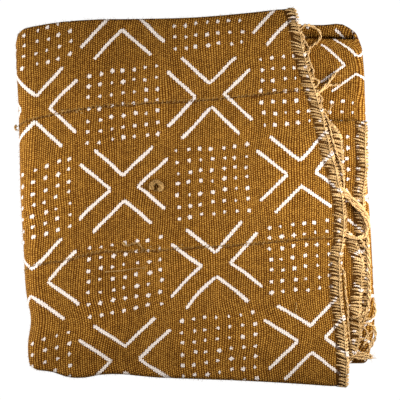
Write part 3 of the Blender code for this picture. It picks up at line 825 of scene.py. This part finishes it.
def tube_object(name, parts, material):
    """One mesh from several lists of tubes, each with its points, faces and named vectors."""
    mesh = bpy.data.meshes.new(name)
    points, faces, start = [], [], 0
    values = {key: [] for key in parts[0][2]}
    for part_points, part_faces, part_values in parts:
        points.append(part_points)
        faces += [[k + start for k in face] for face in part_faces]
        start += len(part_points)
        for key, value in part_values.items():
            values[key].append(value)
    points = np.concatenate(points)
    points[:, 2] = np.maximum(points[:, 2], LOWEST_YARN)
    mesh.from_pydata(points.tolist(), [], faces)
    for key, value in values.items():
        layer = mesh.attributes.new(key, "FLOAT_VECTOR", "POINT")
        layer.data.foreach_set("vector", np.concatenate(value).ravel())
    mesh.shade_smooth()
    mesh.materials.append(material)
    made = bpy.data.objects.new(name, mesh)
    bpy.context.scene.collection.objects.link(made)
    return made


def end_band(which, u, back):
    """A point of the cloth's middle surface at a distance back from its end, with its place on the
    flat cloth and the pattern's column and row there."""
    share, level = across(u)
    x_left = along(LEFT_FOLD, share)
    flat_x = end_lines(u, share)[which == "lower"] - x_left - back
    height, s = STACK_MIDDLE + OUTER_RADIUS + level, flat_x - LEFT_CENTRE
    if which == "lower":
        height = STACK_MIDDLE + INNER_RADIUS - level
        s = -(math.pi * (OUTER_RADIUS + 2 * INNER_RADIUS) + 2 * panel_run(share) + s)
    flat = np.stack([s, u, 0 * s], axis=-1)
    return place(share, flat_x, height), flat, pattern(s, u, share, x_left, flat_x, height)


def unit(vectors):
    """The vectors at a length of 1."""
    return vectors / np.linalg.norm(vectors, axis=-1, keepdims=True)


def run_of(line):
    """The length of a line up to each of its points."""
    return np.concatenate([[0], np.cumsum(np.linalg.norm(np.diff(line, axis=0), axis=1))])


def end_frame(which, u, back):
    """A place on the end band with its outward, along and upward directions and painted place."""
    step = 0.0004
    middle, flat, paint = end_band(which, u, back)
    run_way = unit(end_band(which, u + step, back)[0] - middle)
    out_way = unit(middle - end_band(which, u, back + step)[0])
    normal = unit(np.cross(out_way, run_way))
    normal = normal * np.sign(normal[..., 2:] + 1e-9)
    _, level = across(u)
    shown = (level > 0.9 * LAYER_PITCH) if which == "upper" else (level < -0.9 * LAYER_PITCH)
    return middle, run_way, out_way, normal, flat, paint, shown[..., None]


def end_run(which):
    """Distances u all along a whipped end, and the length of the end up to each."""
    edges = strip_edges()
    fine_u = np.linspace(edges[0][0][0] + 0.001, edges[-1][0][-1] - 0.001, 2400)
    return fine_u, run_of(end_band(which, fine_u, 0 * fine_u)[0])


def wander(random, at, length, size):
    """A value that drifts slowly along a line, from a few random waves."""
    waves = [(random.uniform(0.6, 1.6) / length, random.uniform(0, 2 * math.pi)) for _ in range(4)]
    return size * sum(np.sin(2 * math.pi * at * pace + shift) for pace, shift in waves) / 2


def stitches(which, seed):
    """The yarn's turns round one end of the cloth, uneven in reach, slant, bow and width."""
    random = np.random.default_rng(seed)
    fine_u, run = end_run(which)
    count = int(run[-1] / STITCH_PITCH)
    at = (np.arange(count) + 0.5 + random.uniform(-0.24, 0.24, count)) * STITCH_PITCH
    u = np.interp(at, run, fine_u)[:, None]
    reach = (random.uniform(*STITCH_REACH, count) + wander(random, at, 0.05, 0.0007))[:, None]
    share_back, turned = np.array(STITCH_PATH).T
    lean = wander(random, at, 0.05, 0.0020) + random.normal(0, 0.0006, count) + 0.0024
    winding = -across(u)[1] / LAYER_PITCH * np.where(turned < 90, 1, -1)
    slant = lean[:, None] * (share_back - 0.3) * winding
    bow = (random.normal(0.0006, 0.0004, count))[:, None] * np.sin(math.pi * share_back) * winding
    places_u = np.clip(u + slant + bow, fine_u[0], fine_u[-1])
    back = reach * share_back - random.uniform(0.0, 0.0006, count)[:, None]
    middle, run_way, out_way, normal, flat, paint, shown = end_frame(which, places_u, back)
    turn = np.radians(turned)[None, :, None]
    second = normal * np.cos(turn) + out_way * np.sin(turn)
    thick = np.where(
        shown & (turned < 100)[None, :, None], TOP_STITCH_HALF_THICKNESS, STITCH_HALF_THICKNESS
    )
    width = random.uniform(*STITCH_HALF_WIDTH, count)[:, None, None]
    taper = (1 - 0.62 * ramp(share_back, 0.45, 1.05))[None, :, None]
    lift = random.uniform(0.75, 1.15, count)[:, None, None] * taper
    centres = middle + second * (CORE_THICKNESS / 2 + thick * 0.95 * lift)
    length = reach * (1 - share_back)
    # Each turn's tone is random, and falls towards its inner end where the yarn sinks into the cloth:
    # painted shade.
    tone = random.random(count)[:, None] * taper[..., 0]
    made = tubes(centres, run_way * width * taper, second * thick * taper, STITCH_SIDES)
    return with_values(made, STITCH_SIDES, length, tone, flat, paint)


def rim(which, seed):
    """A yarn that runs along the outer edge of the whipping, caught under each stitch's head."""
    random = np.random.default_rng(seed)
    fine_u, run = end_run(which)
    at = np.arange(0.002, run[-1] - 0.002, 0.0011)
    u = np.interp(at, run, fine_u)
    back = 0.0009 + 0.0003 * np.sin(2 * math.pi * at / STITCH_PITCH) + wander(random, at, 0.03, 0.0005)
    middle, run_way, out_way, normal, flat, paint, shown = end_frame(which, u, back)
    rise = CORE_THICKNESS / 2 + np.where(shown, 2.2 * TOP_STITCH_HALF_THICKNESS, STITCH_HALF_THICKNESS)
    half = RIM_HALF_THICKNESS * (1 + 0.25 * np.sin(2 * math.pi * at / STITCH_PITCH))[:, None]
    made = tubes(*(part[None] for part in (middle + normal * rise, out_way * half, normal * half)), 5)
    return with_values(made, 5, at, 0.75, flat, paint)


def hairs(starts, ways, reach, half, seed, tone):
    """Stray fibres that leave each start along its way, bend to a side and fall as the square of the
    share of their length, and taper to half their thickness."""
    random = np.random.default_rng(seed)
    f = np.linspace(0, 1, HAIR_POINTS)[None, :, None]
    bend, curl = (random.normal(0, spread, (len(starts), 1, 1)) for spread in (0.45, 0.30))
    long = random.uniform(*reach, (len(starts), 1, 1))
    onward = ways[:, None] * (f - 0.25 * abs(bend) * f**2)
    aside = unit(np.cross(ways, UP))[:, None] * (bend * f**2 + curl * np.sin(5 * f) * f)
    centres = starts[:, None] + (onward + aside - UP * (0.25 * f**2)) * long
    way = unit(np.gradient(centres, axis=1))
    first = unit(np.cross(way, UP))
    size = half * (1 - 0.5 * f)
    made = tubes(centres, first * size, np.cross(first, way) * size, 3)
    return with_values(made, 3, (f * long)[..., 0], tone)


def end_hairs(which, seed, count=260):
    """Stray fibres all along the outer edge of a whipped end, where it shows."""
    random = np.random.default_rng(seed)
    fine_u, run = end_run(which)
    u = np.interp(random.uniform(0.01, run[-1] - 0.01, count), run, fine_u)
    back = random.uniform(-0.0005, 0.006, count)
    middle, run_way, out_way, normal, _, _, shown = end_frame(which, u, back)
    keep = shown[:, 0]
    turn = random.uniform(-1.1, 1.1, (count, 1))
    rise = random.uniform(0.0, 0.5, (count, 1))
    ways = unit(out_way * np.cos(turn) + run_way * np.sin(turn) + normal * rise)
    starts = middle + normal * (CORE_THICKNESS / 2 + 1.5 * TOP_STITCH_HALF_THICKNESS)
    return hairs(starts[keep], ways[keep], HAIR_REACH, HAIR_HALF_THICKNESS, seed + 1, 0.9)


def smooth_route(points, step):
    """Points at even steps on a smooth curve through a given route."""
    points = np.array(points, float)
    far = run_of(points)
    at = np.linspace(0, far[-1], max(4, round(far[-1] / step)) + 1)
    return np.stack([along(np.stack([far, points[:, k]], 1), at) for k in range(3)], axis=1)


def twisted(route, radius, seed):
    """A loose yarn of plies, three in a thick one, each a helix round the route, with a frayed tip."""
    random = np.random.default_rng(seed)
    plies = 2 if radius < 0.00135 else 3
    radius = radius * TAIL_FLUFF
    middle = smooth_route(route, TAIL_STEP) - np.array([MIDDLE_X, MIDDLE_Y, 0])
    count = len(middle)
    way = unit(np.gradient(middle, axis=0))
    side = unit(np.cross(way, UP))
    lift = np.cross(side, way)
    run = np.arange(count) * TAIL_STEP
    wobble = 0.15 * radius * np.sin(run[:, None] / 0.007 + random.uniform(0, 6, 3))
    thin = (0.6 + 0.4 * np.clip(np.linspace(1, 0, count) / 0.12, 0, 1))[:, None]
    centres = []
    for ply in range(plies):
        turned = run / (TAIL_TURN * plies) + ply / plies
        angle = (2 * math.pi * turned + wander(random, run, 0.03, 0.5))[:, None]
        centres.append(middle + wobble + radius * 0.58 * (side * np.cos(angle) + lift * np.sin(angle)))
    size = radius * 0.52 * thin * np.ones((plies, 1, 1))
    made = tubes(np.array(centres), side * size, lift * size, 6)
    whole = with_values(made, 6, run, random.uniform(0.65, 1.0, (plies, 1)))
    ways = unit(way[-1] + random.normal(0, 0.28, (TIP_FIBRES, 3)) * (1, 1, 0.4))
    starts = middle[-1] + random.normal(0, 0.3, (TIP_FIBRES, 3)) * radius - way[-1] * TAIL_STEP
    return [whole, hairs(starts, ways, TIP_REACH, TIP_HALF_THICKNESS, seed + 50, 0.95)]


def yarn_material(name, light, dark, with_paint):
    """Hand-spun cotton: pale fibres, darker in the grooves of the twist between them as painted shade, each
    turn a little different.
    """
    shader = Shader(name)
    length, tone, _ = shader.split(shader.attribute("yarn"))
    place_of = shader.node("ShaderNodeTexCoord").outputs["Object"]
    fibre, _ = shader.noise(place_of, 1500.0, 2.0)
    slow, _ = shader.noise(place_of, 120.0, 2.0)
    plus, times, less = shader.sum, shader.times, shader.less
    # The twist's grooves also darken the colour a little: painted shade.
    twist = shader.math("SINE", plus(times(length, 3600.0), times(slow, 8.0)))
    lit = plus(times(tone, 0.55), times(fibre, 0.40), times(twist, 0.14), times(less(slow, 0.5), 1.1))
    lit = shader.math("ADD", lit, 0.02, clamp=True)
    colour = shader.blend(lit, dark, light)
    if with_paint:
        mask = times(painted(shader, plus(fibre, -0.1)), 0.8)
        colour = shader.blend(mask, colour, PAINT_WHITE)
    return shader.finished(colour, plus(fibre, times(twist, 0.45)), 0.0004, 0.7, 0.9, 0.08)


WHIPPING_YARN = yarn_material("whipping_cotton", YARN_LIGHT, YARN_DARK, True)
TAILS = {  # radius, route on the drawing
    "upper": (
        (0.0011, ((0.095, 0.166, 0.0322), (0.105, 0.1745, 0.03), (0.113, 0.1738, 0.024),
                  (0.1195, 0.17, 0.0205), (0.1212, 0.1645, 0.019), (0.117, 0.158, 0.0187),
                  (0.1105, 0.152, 0.0186), (0.1088, 0.144, 0.0186), (0.1108, 0.137, 0.0186),
                  (0.1137, 0.13, 0.0186), (0.114, 0.1225, 0.019))),
        (0.0014, ((0.11, 0.106, 0.0312), (0.119, 0.1085, 0.0298), (0.1255, 0.114, 0.024),
                  (0.131, 0.1205, 0.0194), (0.1365, 0.1275, 0.019))),
        (0.001, ((0.112, 0.1025, 0.0312), (0.1225, 0.1095, 0.0278), (0.131, 0.115, 0.0205),
                  (0.14, 0.1155, 0.0188))),
        (0.0008, ((0.116, 0.092, 0.0318), (0.1235, 0.0885, 0.0306), (0.1285, 0.078, 0.0299),
                  (0.1305, 0.068, 0.0299), (0.1365, 0.0485, 0.0299), (0.1425, 0.028, 0.0299),
                  (0.145, 0.01, 0.0299), (0.146, 0.001, 0.03))),
        (0.0018, ((0.135, 0.0145, 0.0322), (0.1455, 0.008, 0.0325), (0.156, -0.0035, 0.031),
                  (0.1645, -0.0125, 0.0288), (0.1685, -0.0205, 0.0282), (0.168, -0.029, 0.0286),
                  (0.164, -0.0365, 0.0298), (0.157, -0.0385, 0.0314), (0.1495, -0.0372, 0.0322),
                  (0.1445, -0.0345, 0.0325))),
        (0.0009, ((0.136, -0.064, 0.0328), (0.143, -0.07, 0.0328), (0.145, -0.08, 0.0316),
                  (0.146, -0.095, 0.0312), (0.1478, -0.106, 0.0312), (0.1482, -0.125, 0.0312),
                  (0.1492, -0.1365, 0.0312), (0.151, -0.143, 0.0312))),
    ),
    "lower": (
        (0.0013, ((0.16, -0.027, 0.024), (0.166, -0.0325, 0.0256), (0.1684, -0.0525, 0.0262),
                  (0.1695, -0.0725, 0.0262), (0.17, -0.09, 0.0262), (0.169, -0.103, 0.0264),
                  (0.1668, -0.1115, 0.0276), (0.1615, -0.1162, 0.0298), (0.153, -0.1185, 0.0302))),
        (0.0011, ((0.1625, -0.121, 0.024), (0.17, -0.12, 0.025), (0.1745, -0.117, 0.0238),
                  (0.1765, -0.111, 0.021), (0.1755, -0.104, 0.0196))),
        (0.0012, ((0.157, -0.1265, 0.0238), (0.168, -0.1245, 0.025), (0.1745, -0.1275, 0.024),
                  (0.1758, -0.138, 0.0225), (0.1725, -0.1465, 0.0218), (0.168, -0.152, 0.0214))),
        (0.001, ((0.15, -0.141, 0.0236), (0.158, -0.141, 0.0242), (0.1645, -0.1395, 0.0246),
                  (0.1695, -0.135, 0.0246), (0.1735, -0.1318, 0.024))),
        (0.0017, ((0.137, -0.1535, 0.0223), (0.148, -0.155, 0.0221), (0.158, -0.156, 0.0217),
                  (0.1665, -0.1575, 0.0206), (0.1735, -0.159, 0.0195))),
    ),
}
EXTRA_TAILS = {  # the thinner strands beside those above: radius, route
    "upper": (
        (0.0009, ((0.0985, 0.164, 0.0322), (0.1035, 0.165, 0.0262), (0.105, 0.16, 0.0206),
                  (0.108, 0.155, 0.019), (0.1095, 0.15, 0.0188))),
        (0.0009, ((0.1085, 0.117, 0.0318), (0.1155, 0.121, 0.0305), (0.1195, 0.1175, 0.0285),
                  (0.1165, 0.113, 0.029), (0.112, 0.112, 0.0312))),
        (0.0009, ((0.112, 0.106, 0.0318), (0.12, 0.1045, 0.03), (0.1225, 0.1, 0.029),
                  (0.118, 0.096, 0.0308), (0.115, 0.0985, 0.0318))),
        (0.0008, ((0.118, 0.087, 0.0318), (0.125, 0.09, 0.0306), (0.1285, 0.087, 0.03),
                  (0.131, 0.0925, 0.0296))),
        (0.0012, ((0.134, 0.011, 0.0325), (0.145, 0.004, 0.033), (0.156, -0.0075, 0.0318),
                  (0.164, -0.017, 0.03), (0.1672, -0.0255, 0.0298))),
        (0.0007, ((0.1597, -0.0385, 0.0318), (0.163, -0.042, 0.03), (0.1657, -0.0485, 0.029))),
    ),
    "lower": (
        (0.001, ((0.1735, -0.14, 0.0238), (0.17, -0.147, 0.0234), (0.168, -0.153, 0.023))),
        (0.0011, ((0.14, -0.155, 0.0228), (0.152, -0.1575, 0.0226), (0.164, -0.16, 0.0218),
                  (0.17, -0.1592, 0.021))),
        (0.0011, ((0.145, -0.1525, 0.0238), (0.156, -0.154, 0.0236), (0.166, -0.155, 0.0226),
                  (0.172, -0.1565, 0.0216))),
        (0.0008, ((0.159, -0.1235, 0.025), (0.166, -0.13, 0.0252), (0.169, -0.139, 0.0246),
                  (0.164, -0.147, 0.0242))),
    ),
}


def make_whipping(which, seed):
    """All the yarn of one whipped end: its turns, its rim, its fuzz and its loose ends."""
    parts = [stitches(which, seed), rim(which, seed + 100), end_hairs(which, seed + 200)]
    for k, (radius, route) in enumerate(TAILS[which] + EXTRA_TAILS[which], 1):
        parts += twisted(route, radius, seed + k)
    whipping = tube_object(f"whipping_{which}_end", parts, WHIPPING_YARN)
    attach(whipping, "root")
    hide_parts(f"whipped_{which}_end")


make_whipping("upper", 11)
make_whipping("lower", 23)

# Seams: short slanting stitches of brown cotton that hold the strips edge to edge, uneven and in
# places bunched into knots, with a few stray ends of yarn caught in them or lying on the cloth.
SEAM_PITCH = 0.0042
SEAM_END = 0.014
SEAM_HALF_LENGTH = 0.0016
SEAM_HALF_WIDTH = 0.00055
SEAM_HALF_THICKNESS = 0.00030
SEAM_LIGHT = (0.5, 0.3, 0.105, 1)
SEAM_DARK = (0.12, 0.05, 0.01, 1)
SEWING_YARN = yarn_material("sewing_cotton", SEAM_LIGHT, SEAM_DARK, False)
SEAM_KNOTS = (  # x, y, radius
    (-0.1373, 0.089, 0.0013), (-0.131, 0.0895, 0.0012), (-0.1236, 0.0881, 0.0014),
    (-0.1205, 0.09, 0.0011), (-0.1186, 0.0863, 0.0012), (-0.1035, 0.0932, 0.001),
    (-0.0495, -0.0473, 0.0011), (-0.041, -0.0462, 0.001), (-0.018, -0.045, 0.0011),
)
STRAYS = (  # radius, points x, y on the top panel: a squiggle, a curled nub, an end, a thick pick
    (0.0009, ((-0.077, -0.0425), (-0.0745, -0.0462), (-0.067, -0.0441), (-0.0623, -0.044),
              (-0.058, -0.0485))),
    (0.002, ((-0.0485, 0.0095), (-0.048, 0.0145), (-0.044, 0.0175), (-0.039, 0.0155), (-0.0385, 0.0115),
              (-0.042, 0.01))),
    (0.0004, ((0.096, -0.1025), (0.0966, -0.107), (0.0955, -0.1115))),
    (0.0005, ((-0.095, -0.0725), (-0.078, -0.071), (-0.066, -0.0691), (-0.056, -0.0682))),
)


def seam_stitches(before, after, seed):
    """Short tubes across a seam on the cloth's face, between two strips' grids of points."""
    random = np.random.default_rng(seed)
    line = (before[-1] + after[0]) / 2
    over = unit(after[2] - before[-3])
    run = run_of(line)
    at = np.arange(SEAM_END, run[-1] - SEAM_END, SEAM_PITCH)
    at = at + random.uniform(-0.001, 0.001, len(at))

    def sampled(values, places):
        return np.stack([np.interp(places, run, values[:, k]) for k in range(3)], axis=-1)

    ahead = unit(sampled(line, at + 0.001) - sampled(line, at - 0.001))
    across_way = unit(sampled(over, at))
    normal = unit(np.cross(ahead, across_way))
    shares = np.array((-1.0, -0.6, 0.0, 0.6, 1.0))[:, None]
    rise = CLOTH_THICKNESS / 2 + SEAM_HALF_THICKNESS * np.array((-0.6, 0.5, 0.9, 0.5, -0.6))[:, None]
    reach = SEAM_HALF_LENGTH * random.uniform(0.6, 1.4, (len(at), 1, 1))
    lean = random.uniform(0.0004, 0.0018, (len(at), 1, 1))
    centres = sampled(line, at)[:, None] + across_way[:, None] * shares * reach
    centres = centres + normal[:, None] * rise + ahead[:, None] * shares * lean
    first, second = (
        np.broadcast_to(way[:, None] * half, centres.shape)
        for way, half in ((ahead, SEAM_HALF_WIDTH), (normal, SEAM_HALF_THICKNESS))
    )
    length = shares[:, 0] * SEAM_HALF_LENGTH
    return with_values(tubes(centres, first, second, 5), 5, length, random.uniform(0, 0.45, (len(at), 1)))


def top_height(x, y):
    """How high the top panel's face lies at a place of the drawing."""
    middle = STACK_MIDDLE + OUTER_RADIUS + LAYER_PITCH + 0 * x
    return settled(x, y, *edge_lines(x, middle), middle) + CLOTH_THICKNESS / 2


def laid_yarn(radius, route, seed):
    """A stray yarn lying on the top panel, hardly sunk into it."""
    x, y = np.array(route, float).T
    points = np.stack([x, y, top_height(x, y) + radius * 0.9], axis=-1)
    return twisted(points, radius, seed)


def knot(x, y, radius, seed):
    """A lump of wound yarn: a short ring of thread lying on the cloth, nearly closed."""
    random = np.random.default_rng(seed)
    turn = np.linspace(0, 5.2, 7) + random.uniform(0, 6)
    ring_x, ring_y = x + radius * 0.6 * np.cos(turn), y + radius * 0.5 * np.sin(turn)
    rise = radius * 0.4 * np.linspace(0.6, 1.5, 7)
    points = np.stack([ring_x, ring_y, top_height(ring_x, ring_y) + rise], axis=-1)
    return twisted(points, radius * 0.5, seed)[:1]


sewn = [seam_stitches(before, after, 40 + k) for k, (before, after) in enumerate(zip(grids, grids[1:]))]
for k, (x, y, radius) in enumerate(SEAM_KNOTS):
    sewn += knot(x, y, radius, 60 + k)
for k, (radius, route) in enumerate(STRAYS):
    sewn += laid_yarn(radius, route, 80 + k)
sewing = tube_object("seam_stitches", sewn, SEWING_YARN)
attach(sewing, "root")

# Fibres: fine ends of cotton that stand off the worn folds all round the stack, with one small lump
# of yarn at the left fold where a seam goes round it.
FIBRES = 420
FIBRE_REACH = (0.001, 0.0028)
FIBRE_HALF_THICKNESS = 0.00009
LUMP = (
    (-0.1838, 0.0745, 0.0235), (-0.1852, 0.0732, 0.0232), (-0.1856, 0.0712, 0.0226),
    (-0.1842, 0.07, 0.0222),
)
LUMP_RADIUS = 0.0012


def fold_fibres(points, seed):
    """Fibres at random places of a strip's outer faces where these stand steeply, at the folds."""
    random = np.random.default_rng(seed)
    outer = points[:, : STATIONS["first"] + STATIONS["outer"]]
    normal = unit(np.cross(np.gradient(outer, axis=1), np.gradient(outer, axis=0)))
    row, column = np.nonzero(abs(normal[..., 2]) < 0.75)
    picked = random.integers(0, len(row), FIBRES)
    starts, ways = outer[row[picked], column[picked]], normal[row[picked], column[picked]]
    starts = starts + ways * CLOTH_THICKNESS / 2
    ways = unit(ways + random.normal(0, 0.45, ways.shape))
    return hairs(starts, ways, FIBRE_REACH, FIBRE_HALF_THICKNESS, seed + 1, 0.8)


loose = [fold_fibres(grids[k], 120 + k) for k in (2, 3, 4)] + twisted(LUMP, LUMP_RADIUS, 131)
fibres = tube_object("fold_fibres", loose, SEWING_YARN)
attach(fibres, "root")
